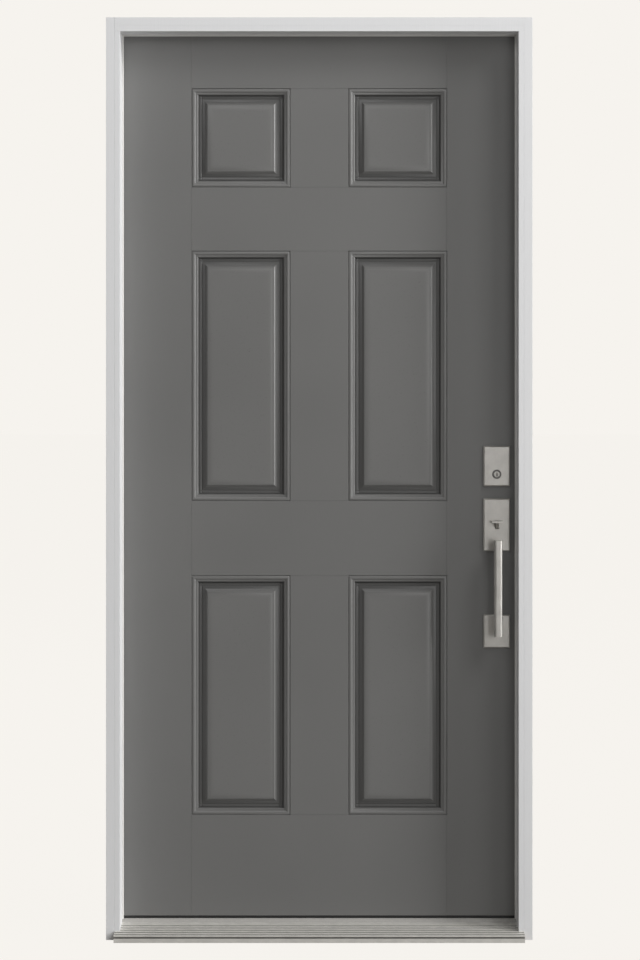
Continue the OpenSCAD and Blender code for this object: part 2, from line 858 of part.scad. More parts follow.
// A plate on the inner face with bevelled edges
module inner_plate(mid_z, h) {
    translate([lock_x - plate_w / 2, slab_in + inner_plate_t, mid_z - h / 2]) mirror([0, 1, 0])
        mitred(plate_w, h, [[0, inner_plate_t], [0, plate_bevel], [plate_bevel, 0]]);
}

// The pair of through-screws above and below an axis, from the inside
module through_pair(z, grow = 0) {
    y_head = slab_in + inner_plate_t - 3.5;
    for (s = [-1, 1]) {
        rod_y(slab_out + 1.5, y_head, lock_x, z + s * through_z, through_r + grow);
        rod_y(y_head - 3.5, y_head + grow, lock_x, z + s * through_z, through_head + grow);
    }
}

// The bosses behind an outer plate that the through-screws thread into
module bosses(z) {
    for (s = [-1, 1]) rod_y(slab_out - 1, slab_out + 12, lock_x, z + s * through_z, through_r + 2.6);
}

// ---------------------------------------------------------------- deadbolt

module deadbolt_plate() {
    color("silver") difference() {
        union() {
            outer_plate(bolt_plate_mid, bolt_plate_h);
            bosses(bolt_z);
        }
        rod_y(slab_out - plate_t - over, slab_out + over, lock_x, bolt_z, cylinder_r + fit);
        through_pair(bolt_z, fit);
    }
}

module deadbolt_cylinder() {
    color("silver") difference() {
        union() {
            rod_y(slab_out - plate_t - cylinder_proud, slab_out, lock_x, bolt_z, cylinder_r - ring_gap);
            rod_y(slab_out - plate_t + ring_d, slab_out + 2, lock_x, bolt_z, cylinder_r);
            rod_y(slab_out + 0.02, plug_end, lock_x, bolt_z, cylinder_r + 2);
        }
        rod_y(slab_out - plate_t - 2 * cylinder_proud, plug_end + over, lock_x, bolt_z, plug_r + fit);
    }
}

key_slot_w = 2.2;
key_slot_h = 8.4;
key_hole_r = 2.3;

module key_plug() {
    y0 = slab_out - plate_t - cylinder_proud + 0.4;
    color("silver") difference() {
        rod_y(y0, plug_end - slip, lock_x, bolt_z, plug_r);
        span([lock_x - key_slot_w / 2, y0 - over, bolt_z - key_slot_h / 2],
             [lock_x + key_slot_w / 2, y0 + 12, bolt_z + key_slot_h / 2]);
        rod_y(y0 - over, y0 + 12, lock_x, bolt_z - key_slot_h / 2 + key_hole_r, key_hole_r);
    }
}

// The round case of a bolt with a channel of w by h through it
module bolt_case(z, w, h, cross_r) {
    difference() {
        rod_x(slab_x - case_l, slab_x - face_t, slab_mid, z, case_r);
        span([slab_x - case_l + 3, slab_mid - w / 2 - slip, z - h / 2 - slip],
             [slab_x, slab_mid + w / 2 + slip, z + h / 2 + slip]);
        rod_y(slab_out, slab_in, lock_x, z, cross_r);
    }
}

module face_plate(z, w, h) {
    difference() {
        span([slab_x - face_t, slab_mid - face_w / 2, z - face_h / 2],
             [slab_x, slab_mid + face_w / 2, z + face_h / 2]);
        span([slab_x - face_t - over, slab_mid - w / 2 - slip, z - h / 2 - slip],
             [slab_x + over, slab_mid + w / 2 + slip, z + h / 2 + slip]);
        face_screw_pair(z, fit);
    }
}

module face_screw_pair(z, grow = 0) {
    for (s = [-1, 1])
        translate([slab_x, slab_mid, z + s * face_screw_z]) rotate([0, -90, 0]) wood_screw(grow, 20);
}

module deadbolt_case() {
    color("silver") bolt_case(bolt_z, bolt_y, bolt_h, tail_w / 2 + 1.2);
}

module deadbolt_face_plate() {
    color("silver") face_plate(bolt_z, bolt_y, bolt_h);
}

module deadbolt_bolt() {
    color("lightgray") span([slab_x - bolt_tail, slab_mid - bolt_y / 2, bolt_z - bolt_h / 2],
                            [slab_x, slab_mid + bolt_y / 2, bolt_z + bolt_h / 2]);
}

module deadbolt_inner_plate() {
    color("silver") difference() {
        inner_plate(bolt_z, inner_bolt_plate_h);
        rod_y(slab_in - over, slab_in + inner_plate_t + over, lock_x, bolt_z, turn_stem_r + fit);
        through_pair(bolt_z, fit);
        for (s = [-1, 1])
            rod_y(slab_in + inner_plate_t - 4, slab_in + inner_plate_t + over, lock_x,
                  bolt_z + s * through_z, through_head + fit);
    }
}

turn_l = 36;
turn_t = 11;
turn_out = 17;

module thumb_turn() {
    y0 = slab_in + inner_plate_t + 0.5;
    color("silver") difference() {
        union() {
            rod_y(slab_in - 4, y0 + 2, lock_x, bolt_z, turn_stem_r);
            rod_y(y0, y0 + 4, lock_x, bolt_z, turn_t);
            span([lock_x - turn_t / 2 + 2, y0 + 2, bolt_z - turn_l / 2 + turn_t / 2],
                 [lock_x + turn_t / 2 - 2, y0 + turn_out, bolt_z + turn_l / 2 - turn_t / 2]);
            for (s = [-1, 1])
                rod_y(y0 + 2, y0 + turn_out, lock_x, bolt_z + s * (turn_l - turn_t) / 2, turn_t / 2 - 2);
        }
        span([lock_x - tail_t / 2 - 0.02, slab_in - 5, bolt_z - tail_w / 2 - 0.02],
             [lock_x + tail_t / 2 + 0.02, slab_in + 4, bolt_z + tail_w / 2 + 0.02]);
    }
}

module tailpiece() {
    color("gray") span([lock_x - tail_t / 2, plug_end + slip, bolt_z - tail_w / 2],
                       [lock_x + tail_t / 2, slab_in + 3.98, bolt_z + tail_w / 2]);
}

module deadbolt_screws() {
    color("silver") through_pair(bolt_z);
}

// ---------------------------------------------------------------- handle set

module handle_upper_plate() {
    color("silver") difference() {
        union() {
            outer_plate(upper_plate_mid, upper_plate_h);
            bosses(latch_z);
        }
        span([lock_x - thumb_slot_w / 2, slab_out - plate_t - over, thumb_axis_z - 8.5],
             [lock_x + thumb_slot_w / 2, slab_out + over, thumb_axis_z + 11]);
        rod_x(lock_x - thumb_pin_l / 2, lock_x + thumb_pin_l / 2,
              thumb_axis_y, thumb_axis_z, thumb_pin_r + fit);
        rod_y(slab_out - 4, slab_out + over, lock_x, latch_z, spindle_w * 0.8);
        through_pair(latch_z, fit);
    }
}

thumb_pad_t = 4;
thumb_web_t = 6;

// The thumb pad with its tapering web, pivoting in the plate's slot
module thumb_piece() {
    y_out = slab_out - plate_t - thumb_reach;
    y_face = slab_out - plate_t - 1.5;
    web_x = lock_x - thumb_web_t / 2;
    color("silver") difference() {
        union() {
            span([lock_x - thumb_w / 2, y_out, thumb_pad_z],
                 [lock_x + thumb_w / 2, y_face, thumb_pad_z + thumb_pad_t]);
            translate([web_x, 0, 0]) rotate([90, 0, 90]) linear_extrude(thumb_web_t) polygon([
                [y_out + 3, thumb_pad_z], [y_out + 9, thumb_pad_z - 6], [y_face, thumb_axis_z - 7],
                [thumb_axis_y, thumb_axis_z - thumb_hub_r], [thumb_axis_y, thumb_axis_z + thumb_hub_r],
                [y_face, thumb_pad_z + 1]]);
            rod_x(web_x, web_x + thumb_web_t, thumb_axis_y, thumb_axis_z, thumb_hub_r);
        }
        rod_x(web_x - over, web_x + thumb_web_t + over, thumb_axis_y, thumb_axis_z, thumb_pin_r + fit);
    }
}

module thumb_pin() {
    color("silver")
        rod_x(lock_x - thumb_pin_l / 2 + slip, lock_x + thumb_pin_l / 2 - slip,
              thumb_axis_y, thumb_axis_z, thumb_pin_r);
}

grip_round = 5.5;

// The bar's section in (x, y): its front edges are rounded, and its back is flat
module grip_section() {
    translate([-grip_w / 2, grip_round]) square([grip_w, grip_t - grip_round]);
    translate([-grip_w / 2 + grip_round, 0]) square([grip_w - 2 * grip_round, grip_t]);
    for (s = [-1, 1]) translate([s * (grip_w / 2 - grip_round), grip_round]) circle(grip_round);
}

module grip_bar() {
    z0 = grip_top - grip_h;
    color("silver") {
        translate([lock_x, grip_front, z0]) linear_extrude(grip_h) grip_section();
        for (z = [grip_top - post_h - 5, z0 + 5])
            span([lock_x - post_w / 2, grip_front + grip_t - 1, z],
                 [lock_x + post_w / 2, slab_out - plate_t, z + post_h]);
    }
}

module handle_lower_plate() {
    color("silver") difference() {
        outer_plate(lower_plate_mid, lower_plate_h);
        rod_y(slab_out - plate_t + 3, slab_out + over, lock_x, lower_plate_mid, grip_bolt_r + fit);
    }
}

module grip_bolt() {
    color("silver") {
        rod_y(slab_out - plate_t + 3.5, slab_in + 1, lock_x, lower_plate_mid, grip_bolt_r);
        rod_y(slab_in, slab_in + 3.5, lock_x, lower_plate_mid, 9, 7.5);
    }
}

module latch_case() {
    color("silver") bolt_case(latch_z, latch_y, latch_h, spindle_w * 0.78);
}

module latch_face_plate() {
    color("silver") face_plate(latch_z, latch_y, latch_h);
}

// The latch rests thrown; its sloped side faces outwards, the way the leaf closes
module latch_bolt() {
    tip = slab_x + latch_throw;
    color("lightgray") translate([0, 0, latch_z - latch_h / 2]) linear_extrude(latch_h) polygon([
        [slab_x - latch_tail, slab_mid - latch_y / 2], [tip - latch_nose, slab_mid - latch_y / 2],
        [tip, slab_mid + latch_y / 2 - 2], [tip, slab_mid + latch_y / 2],
        [slab_x - latch_tail, slab_mid + latch_y / 2]]);
}

module spindle() {
    color("gray") translate([lock_x, 0, latch_z]) span([-spindle_w / 2, slab_out - 2.5, -spindle_w / 2],
                                                      [spindle_w / 2, slab_in + 21.98, spindle_w / 2]);
}

module lever_rose() {
    color("silver") difference() {
        inner_plate(latch_z, rose_h);
        rod_y(slab_in - over, slab_in + inner_plate_t + over, lock_x, latch_z, lever_neck_r + fit);
        through_pair(latch_z, fit);
        for (s = [-1, 1])
            rod_y(slab_in + inner_plate_t - 4, slab_in + inner_plate_t + over, lock_x,
                  latch_z + s * through_z, through_head + fit);
    }
}

lever_w = 20;
lever_t = 10;

// A straight lever on a round neck; it points to the hinge side
module inner_lever() {
    y1 = slab_in + lever_out;
    color("silver") difference() {
        union() {
            rod_y(slab_in + 1, y1, lock_x, latch_z, lever_neck_r);
            span([lock_x - lever_l + lever_w / 2, y1 - lever_t, latch_z - lever_w / 2],
                 [lock_x, y1, latch_z + lever_w / 2]);
            for (x = [lock_x, lock_x - lever_l + lever_w / 2])
                rod_y(y1 - lever_t, y1, x, latch_z, lever_w / 2);
        }
        translate([lock_x, 0, latch_z]) span([-spindle_w / 2 - 0.02, slab_in, -spindle_w / 2 - 0.02],
                                             [spindle_w / 2 + 0.02, slab_in + 22, spindle_w / 2 + 0.02]);
    }
}

module handle_screws() {
    color("silver") through_pair(latch_z);
}

module face_plate_screws() {
    color("silver") {
        face_screw_pair(bolt_z);
        face_screw_pair(latch_z);
    }
}

// ---------------------------------------------------------------- nodes

hinge_jamb();
strike_jamb();
head_jamb();
sill_extrusion();
sill_substrate();
sill_cap();
weatherstrip_hinge_side();
weatherstrip_strike_side();
weatherstrip_head();
corner_seal_pads();
frame_screws();
latch_strike_plate();
deadbolt_strike_plate();
strike_screws();
jamb_leaf(hinge_zs[0]);  // top_hinge_jamb_leaf
jamb_leaf(hinge_zs[1]);  // middle_hinge_jamb_leaf
jamb_leaf(hinge_zs[2]);  // bottom_hinge_jamb_leaf
hinge_pin(hinge_zs[0]);  // top_hinge_pin
hinge_pin(hinge_zs[1]);  // middle_hinge_pin
hinge_pin(hinge_zs[2]);  // bottom_hinge_pin
hinge_jamb_screws();
exterior_skin();
interior_skin();
foam_core();
hinge_stile();
lock_stile_head();
lock_stile_middle();
lock_stile_foot();
top_rail();
bottom_rail();
lock_block();
door_sweep();
door_leaf(hinge_zs[0]);  // top_hinge_door_leaf
door_leaf(hinge_zs[1]);  // middle_hinge_door_leaf
door_leaf(hinge_zs[2]);  // bottom_hinge_door_leaf
hinge_door_screws();
deadbolt_plate();
deadbolt_cylinder();
key_plug();
deadbolt_case();
deadbolt_face_plate();
deadbolt_bolt();
deadbolt_inner_plate();
thumb_turn();
tailpiece();
deadbolt_screws();
handle_upper_plate();
thumb_piece();
thumb_pin();
grip_bar();
handle_lower_plate();
grip_bolt();
latch_case();
latch_face_plate();
latch_bolt();
spindle();
lever_rose();
inner_lever();
handle_screws();
face_plate_screws();
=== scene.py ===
"""Looks of a panelled front door in its frame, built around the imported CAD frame."""

import json
import math

import bmesh
import bpy
from mathutils import Euler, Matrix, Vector

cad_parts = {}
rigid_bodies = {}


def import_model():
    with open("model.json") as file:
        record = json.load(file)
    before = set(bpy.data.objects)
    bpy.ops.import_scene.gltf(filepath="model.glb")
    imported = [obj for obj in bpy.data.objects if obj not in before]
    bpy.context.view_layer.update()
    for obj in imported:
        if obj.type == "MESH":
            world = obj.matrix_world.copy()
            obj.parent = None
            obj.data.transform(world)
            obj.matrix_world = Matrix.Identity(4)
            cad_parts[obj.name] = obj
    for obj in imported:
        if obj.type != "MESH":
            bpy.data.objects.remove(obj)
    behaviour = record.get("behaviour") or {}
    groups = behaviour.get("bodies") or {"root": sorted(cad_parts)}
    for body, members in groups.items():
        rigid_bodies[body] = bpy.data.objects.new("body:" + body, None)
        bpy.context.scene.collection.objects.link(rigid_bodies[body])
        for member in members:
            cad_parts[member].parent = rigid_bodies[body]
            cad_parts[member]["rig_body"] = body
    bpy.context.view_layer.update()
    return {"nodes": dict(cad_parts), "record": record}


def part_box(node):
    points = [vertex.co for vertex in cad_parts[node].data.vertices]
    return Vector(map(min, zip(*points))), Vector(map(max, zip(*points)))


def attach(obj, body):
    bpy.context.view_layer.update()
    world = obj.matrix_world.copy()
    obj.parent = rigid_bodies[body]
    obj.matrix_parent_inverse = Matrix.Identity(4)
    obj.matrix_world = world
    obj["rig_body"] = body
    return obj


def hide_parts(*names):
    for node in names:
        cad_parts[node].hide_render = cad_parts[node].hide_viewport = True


bl_info = {
    "name": "Panelled Front Door",
    "version": (1, 0, 0),
    "blender": (4, 5, 0),
    "location": "View3D > Sidebar > Door",
    "description": "Paint, metal and seals for a pre-hung panelled front door",
    "category": "Object",
}

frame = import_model()
NODES = frame["nodes"]

MM = 0.001
AIM_HEIGHT = 1.1  # metres: where the lamps point on the door
FIELD_AREA = 0.012  # square metres: the leaf's flats are larger, its moulding strips smaller
RECESS_FROM, RECESS_TO = 1.6 * MM, 6.5 * MM  # depths between which painted shade darkens the leaf paint in the mouldings
NOSE_TOP = 16 * MM  # height of the sill's nosing, where its ramp starts
RAMP_CLIMB = 10 * MM  # how much the ramp climbs up to the cap
GROOVE_FROM, GROOVE_TO = 0.4 * MM, 1.2 * MM  # depths between which painted shade darkens the sill's grooves
HINGE_ROWS = ("top", "middle", "bottom")
LEAF_EDGES = ("hinge_stile", "lock_stile_head", "lock_stile_middle", "lock_stile_foot",
              "top_rail", "bottom_rail")
SKINS = ("exterior_skin", "interior_skin")
WEATHERSTRIPS = ("weatherstrip_hinge_side", "weatherstrip_strike_side", "weatherstrip_head")
LOCKS_AND_HANDLES = ("deadbolt_plate", "handle_upper_plate", "handle_lower_plate", "deadbolt_inner_plate",
                     "lever_rose", "thumb_turn", "inner_lever", "grip_bar", "thumb_piece", "key_plug")
AMBIENT_TINT = (1.0, 0.985, 0.965)  # colour of the even light from all round
FLOOR_HALF = 30  # metres: half the side of the floor
MERGE_GAP = 0.002 * MM  # loose triangle corners closer than this are joined
LEVEL_ANGLE = 0.4  # degrees: faces that meet at less are one flat face
ON_PLANE = 0.1 * MM  # how close to a face's plane counts as on it


# ---------------------------------------------------------------- settings


class DoorFinish(bpy.types.PropertyGroup):
    """Colours and surface qualities of the door's finishes"""

    leaf_colour: bpy.props.FloatVectorProperty(
        name="Leaf paint", description="Dark grey paint of the leaf",
        subtype="COLOR", size=3, min=0, max=1, default=(0.186, 0.185, 0.181))
    leaf_roughness: bpy.props.FloatProperty(
        name="Leaf roughness", description="Sheen of the leaf's satin paint",
        min=0, max=1, default=0.31)
    # share of painted shade at the foot of the mouldings
    recess_shade: bpy.props.FloatProperty(
        name="Recess shade", description="How much darker the paint is at the foot of the mouldings",
        min=0, max=1, default=0.5)
    frame_colour: bpy.props.FloatVectorProperty(
        name="Frame paint", description="White paint of the jambs and the head",
        subtype="COLOR", size=3, min=0, max=1, default=(0.855, 0.858, 0.866))
    metal_colour: bpy.props.FloatVectorProperty(
        name="Satin nickel", description="Lock and handle plating",
        subtype="COLOR", size=3, min=0, max=1, default=(0.66, 0.64, 0.605))
    sill_colour: bpy.props.FloatVectorProperty(
        name="Sill aluminium", description="Mill finish of the sill",
        subtype="COLOR", size=3, min=0, max=1, default=(0.78, 0.76, 0.715))
    # share of painted shade down in the sill's grooves
    groove_shade: bpy.props.FloatProperty(
        name="Groove shade", description="How much darker the sill is down in its grooves",
        min=0, max=1, default=0.6)
    seal_colour: bpy.props.FloatVectorProperty(
        name="Weatherstrip", description="Skin of the bulb seals",
        subtype="COLOR", size=3, min=0, max=1, default=(0.66, 0.65, 0.63))


class DoorEdges(bpy.types.PropertyGroup):
    """How far the sharp edges of each kind of piece are rounded"""

    wood: bpy.props.FloatProperty(
        name="Jamb arris", description="Rounding of the jambs' long edges",
        unit="LENGTH", min=0, default=1.1 * MM)
    leaf: bpy.props.FloatProperty(
        name="Leaf arris", description="Rounding round the leaf",
        unit="LENGTH", min=0, default=1.0 * MM)
    metal: bpy.props.FloatProperty(
        name="Hardware edge", description="Rounding of the plates, the grip and the levers",
        unit="LENGTH", min=0, default=0.5 * MM)
    sill: bpy.props.FloatProperty(
        name="Sill edge", description="Rounding of the sill's long edges",
        unit="LENGTH", min=0, default=0.35 * MM)


class DoorStudio(bpy.types.PropertyGroup):
    """Camera, background and light"""

    distance: bpy.props.FloatProperty(
        name="Camera distance", description="From the plane of the frame's outer edges",
        unit="LENGTH", min=1, default=5.6)
    eye_height: bpy.props.FloatProperty(
        name="Eye height", description="Height of the level camera",
        unit="LENGTH", min=0, default=1.3435)
    lens: bpy.props.FloatProperty(
        name="Lens", description="Focal length for a 36 mm long side",
        unit="CAMERA", min=10, default=93.785)
    rise: bpy.props.FloatProperty(
        name="Lens rise", description="Vertical shift that frames the foot of the door",
        default=-0.14583)
    slide: bpy.props.FloatProperty(
        name="Lens slide", description="Horizontal shift",
        default=0.00078)
    backdrop: bpy.props.FloatVectorProperty(
        name="Backdrop", description="Pale background",
        subtype="COLOR", size=3, min=0, max=1, default=(0.9216, 0.8963, 0.8550))
    ambient: bpy.props.FloatProperty(
        name="Ambient", description="Strength of the even light from all round",
        min=0, default=0.11)
    floor_bounce: bpy.props.FloatProperty(
        name="Floor bounce", description="How much of its light the floor throws back at the door",
        min=0, max=1, default=0.35)
    floor_glow: bpy.props.FloatProperty(
        name="Floor glow", description="Share of the floor's own even brightness in what is seen of it",
        min=0, max=1, default=0.97)
    floor_level: bpy.props.FloatProperty(
        name="Floor level", description="Strength of that brightness, against the backdrop's",
        min=0, default=1.02)
    side_power: bpy.props.FloatProperty(
        name="Side light", description="Tall soft light far out on the right",
        unit="POWER", min=0, default=2050)
    upper_power: bpy.props.FloatProperty(
        name="Upper light", description="Soft light from the upper right in front",
        unit="POWER", min=0, default=105)
    front_power: bpy.props.FloatProperty(
        name="Front light", description="Tall weak light right of the camera",
        unit="POWER", min=0, default=35)
    fill_power: bpy.props.FloatProperty(
        name="Fill light", description="Weak light from the upper left",
        unit="POWER", min=0, default=18)
    back_power: bpy.props.FloatProperty(
        name="Back light", description="Soft light on the inside of the door",
        unit="POWER", min=0, default=260)


# ---------------------------------------------------------------- shader helpers


def node_of(tree, kind):
    """The tree's first node of a kind."""
    return next(n for n in tree.nodes if n.type == kind)


def new_material(name):
    """A material with a Principled surface; returns (material, tree, principled)."""
    mat = bpy.data.materials.new(name)
    mat.use_nodes = True
    return mat, mat.node_tree, node_of(mat.node_tree, "BSDF_PRINCIPLED")


def object_coords(tree, stretch=(1, 1, 1)):
    """Object coordinates, squeezed by stretch, in metres."""
    coords = tree.nodes.new("ShaderNodeTexCoord")
    mapping = tree.nodes.new("ShaderNodeMapping")
    mapping.inputs["Scale"].default_value = stretch
    tree.links.new(coords.outputs["Object"], mapping.inputs["Vector"])
    return mapping.outputs["Vector"]


def axes(tree):
    """The sockets of a point's own coordinates, by the names X, Y and Z, in metres."""
    split = tree.nodes.new("ShaderNodeSeparateXYZ")
    tree.links.new(object_coords(tree), split.inputs[0])
    return split.outputs


def noise(tree, vector, scale, detail=3.0, rough=0.55):
    """A noise texture's value along a vector."""
    node = tree.nodes.new("ShaderNodeTexNoise")
    node.inputs["Scale"].default_value = scale
    node.inputs["Detail"].default_value = detail
    node.inputs["Roughness"].default_value = rough
    tree.links.new(vector, node.inputs["Vector"])
    return node.outputs["Fac"]


def remap(tree, value, low, high, lo_in=0.3, hi_in=0.7):
    """value from lo_in..hi_in mapped to low..high."""
    node = tree.nodes.new("ShaderNodeMapRange")
    node.inputs["From Min"].default_value = lo_in
    node.inputs["From Max"].default_value = hi_in
    node.inputs["To Min"].default_value = low
    node.inputs["To Max"].default_value = high
    tree.links.new(value, node.inputs["Value"])
    return node.outputs["Result"]


def two_tone(tree, factor, first, second):
    """A colour that runs from first to second with factor."""
    node = tree.nodes.new("ShaderNodeMix")
    node.data_type = "RGBA"
    node.inputs["A"].default_value = (*first, 1)
    node.inputs["B"].default_value = (*second, 1)
    tree.links.new(factor, node.inputs["Factor"])
    return node.outputs["Result"]


def maths(tree, operation, first, second=0.0):
    """The result of a maths node on two sockets or numbers."""
    node = tree.nodes.new("ShaderNodeMath")
    node.operation = operation
    for value, socket in zip((first, second), node.inputs):
        if isinstance(value, (int, float)):
            socket.default_value = value
        else:
            tree.links.new(value, socket)
    return node.outputs[0]


def leaf_depth(tree):
    """How far a point lies below the nearer face of the leaf, in metres."""
    outer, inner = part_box("exterior_skin")[0].y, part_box("interior_skin")[1].y
    from_middle = maths(tree, "ABSOLUTE", maths(tree, "SUBTRACT", axes(tree)["Y"], (outer + inner) / 2))
    return maths(tree, "SUBTRACT", (inner - outer) / 2, from_middle)


def groove_depth(tree):
    """How far a point of the sill's ramp lies under the plane of the ramp, in metres; 0 on the nosing."""
    foot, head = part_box("sill_extrusion")[0].y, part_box("sill_cap")[0].y
    point = axes(tree)
    inward = maths(tree, "SUBTRACT", point["Y"], foot)
    plane = maths(tree, "ADD", maths(tree, "MULTIPLY", inward, RAMP_CLIMB / (head - foot)), NOSE_TOP)
    on_ramp = maths(tree, "GREATER_THAN", inward, 1 * MM)
    return maths(tree, "MULTIPLY", maths(tree, "SUBTRACT", plane, point["Z"]), on_ramp)


def darken(tree, share):
    """Mixes a share of black, as painted shade, into the colour of the tree's Principled surface."""
    colour = node_of(tree, "BSDF_PRINCIPLED").inputs["Base Color"]
    shade = tree.nodes.new("ShaderNodeMix")
    shade.data_type = "RGBA"
    shade.inputs["B"].default_value = (0, 0, 0, 1)
    tree.links.new(colour.links[0].from_socket, shade.inputs["A"])
    tree.links.new(share, shade.inputs["Factor"])
    tree.links.new(shade.outputs["Result"], colour)


def bump(tree, surface, height, distance, strength=1.0):
    """Drives the surface's normal from a height in metres."""
    node = tree.nodes.new("ShaderNodeBump")
    node.inputs["Strength"].default_value = strength
    node.inputs["Distance"].default_value = distance
    tree.links.new(height, node.inputs["Height"])
    tree.links.new(node.outputs["Normal"], surface.inputs["Normal"])


def shaded(colour, factor):
    """colour times factor."""
    return tuple(c * factor for c in colour)


# ---------------------------------------------------------------- finishes


def leaf_paint(finish, name="leaf_paint"):
    """Sprayed satin paint: fine orange peel and a slow drift in tone."""
    mat, tree, surface = new_material(name)
    colour = tuple(finish.leaf_colour)
    drift = noise(tree, object_coords(tree), 2.2, 2)
    mottle = two_tone(tree, remap(tree, drift, 0, 1), shaded(colour, 0.96), shaded(colour, 1.04))
    tree.links.new(mottle, surface.inputs["Base Color"])
    peel = noise(tree, object_coords(tree), 420, 2)
    tree.links.new(remap(tree, peel, finish.leaf_roughness - 0.04, finish.leaf_roughness + 0.05),
                   surface.inputs["Roughness"])
    surface.inputs["Specular IOR Level"].default_value = 0.45
    bump(tree, surface, peel, 0.02 * MM, 0.5)
    return mat


def moulded_paint_with_painted_shade(finish):
    """The same paint on the skins, with painted shade that darkens it down in the mouldings."""
    mat = leaf_paint(finish, "moulded_paint_with_painted_shade")
    tree = mat.node_tree
    # painted shade: the paint runs towards black with depth below the leaf's face, up to recess_shade at
    # RECESS_TO
    darken(tree, remap(tree, leaf_depth(tree), 0, finish.recess_shade, RECESS_FROM, RECESS_TO))
    return mat


def frame_paint(finish):
    """Factory white on wood: faint grain along the length under the paint."""
    mat, tree, surface = new_material("frame_paint")
    colour = tuple(finish.frame_colour)
    grain = noise(tree, object_coords(tree, (1, 1, 0.03)), 340, 3)
    tone = two_tone(tree, remap(tree, grain, 0, 1), shaded(colour, 0.985), shaded(colour, 1.01))
    tree.links.new(tone, surface.inputs["Base Color"])
    surface.inputs["Roughness"].default_value = 0.42
    surface.inputs["Specular IOR Level"].default_value = 0.4
    bump(tree, surface, grain, 0.03 * MM, 0.35)
    return mat


def brushed_metal(name, colour, roughness, stretch, depth=0.012 * MM, metallic=1.0):
    """Metal with fine parallel scratches; stretch is small along them."""
    mat, tree, surface = new_material(name)
    scratches = noise(tree, object_coords(tree, stretch), 2600, 3, 0.6)
    cloud = noise(tree, object_coords(tree), 45, 3)
    tone = two_tone(tree, remap(tree, cloud, 0, 1), shaded(colour, 0.93), shaded(colour, 1.05))
    tree.links.new(tone, surface.inputs["Base Color"])
    surface.inputs["Metallic"].default_value = metallic
    tree.links.new(remap(tree, scratches, roughness - 0.06, roughness + 0.08), surface.inputs["Roughness"])
    bump(tree, surface, scratches, depth, 0.4)
    return mat


def satin_nickel(finish):
    return brushed_metal("satin_nickel", tuple(finish.metal_colour), 0.38, (1, 1, 0.04), metallic=0.85)


# painted shade: the satin nickel at 0.3 of its colour, for the shaded ring of cylinder seen round the plug
def cylinder_nickel_in_painted_shade(finish):
    return brushed_metal("cylinder_nickel_in_painted_shade", shaded(tuple(finish.metal_colour), 0.3), 0.45, (1, 1, 1))


def hinge_nickel(finish):
    return brushed_metal("hinge_nickel", tuple(finish.metal_colour), 0.32, (1, 1, 0.04))


def sill_aluminium(finish):
    """Mill-finish extrusion, with painted shade that darkens it down in its grooves."""
    mat = brushed_metal("sill_aluminium", tuple(finish.sill_colour), 0.40, (0.02, 1, 1), 0.004 * MM,
                        metallic=0.3)
    tree = mat.node_tree
    # painted shade: the aluminium runs towards black with depth under the ramp's plane, up to groove_shade
    # at GROOVE_TO
    darken(tree, remap(tree, groove_depth(tree), 0, finish.groove_shade, GROOVE_FROM, GROOVE_TO))
    return mat


def zinc_steel(finish):
    return brushed_metal("zinc_steel", (0.58, 0.58, 0.58), 0.34, (0.06, 1, 1))


def plated_screws(finish):
    return brushed_metal("plated_screws", (0.56, 0.54, 0.50), 0.30, (1, 1, 1))


def moulded(name, colour, roughness, scale=260, depth=0.03 * MM, spread=0.06):
    """A matt moulded surface with a fine stipple."""
    mat, tree, surface = new_material(name)
    stipple = noise(tree, object_coords(tree), scale, 4)
    tone = two_tone(tree, remap(tree, stipple, 0, 1), shaded(colour, 1 - spread), shaded(colour, 1 + spread))
    tree.links.new(tone, surface.inputs["Base Color"])
    surface.inputs["Roughness"].default_value = roughness
    bump(tree, surface, stipple, depth, 0.6)
    return mat


def cap_composite(finish):
    return moulded("cap_composite", (0.46, 0.445, 0.42), 0.5, 300)


def seal(finish):
    return moulded("seal", tuple(finish.seal_colour), 0.6, 500, 0.02 * MM, 0.03)


def pad_foam(finish):
    return moulded("pad_foam", (0.05, 0.05, 0.05), 0.9, 900, 0.2 * MM, 0.2)


def sweep_vinyl(finish):
    return moulded("sweep_vinyl", (0.02, 0.02, 0.02), 0.55)


def core_foam(finish):
    return moulded("core_foam", (0.72, 0.60, 0.30), 0.9, 420, 0.2 * MM, 0.12)


def sawn_wood(name, light, dark, along):
    """Bare wood with growth lines along one axis."""
    mat, tree, surface = new_material(name)
    stretch = [1, 1, 1]
    stretch[along] = 0.05
    lines = noise(tree, object_coords(tree, stretch), 120, 5, 0.6)
    tree.links.new(two_tone(tree, remap(tree, lines, 0, 1), dark, light), surface.inputs["Base Color"])
    surface.inputs["Roughness"].default_value = 0.7
    bump(tree, surface, lines, 0.1 * MM, 0.5)
    return mat


def core_wood(finish):
    return sawn_wood("core_wood", (0.50, 0.33, 0.17), (0.36, 0.22, 0.11), 2)


def sill_base(finish):
    return sawn_wood("sill_base", (0.30, 0.23, 0.15), (0.22, 0.16, 0.10), 0)


FINISHES = {
    "leaf_paint": leaf_paint,
    "moulded_paint_with_painted_shade": moulded_paint_with_painted_shade,
    "frame_paint": frame_paint,
    "satin_nickel": satin_nickel,
    "cylinder_nickel_in_painted_shade": cylinder_nickel_in_painted_shade,
    "hinge_nickel": hinge_nickel,
    "sill_aluminium": sill_aluminium,
    "zinc_steel": zinc_steel,
    "plated_screws": plated_screws,
    "cap_composite": cap_composite,
    "seal": seal,
    "pad_foam": pad_foam,
    "sweep_vinyl": sweep_vinyl,
    "core_foam": core_foam,
    "core_wood": core_wood,
    "sill_base": sill_base,
}


made_finishes = {}


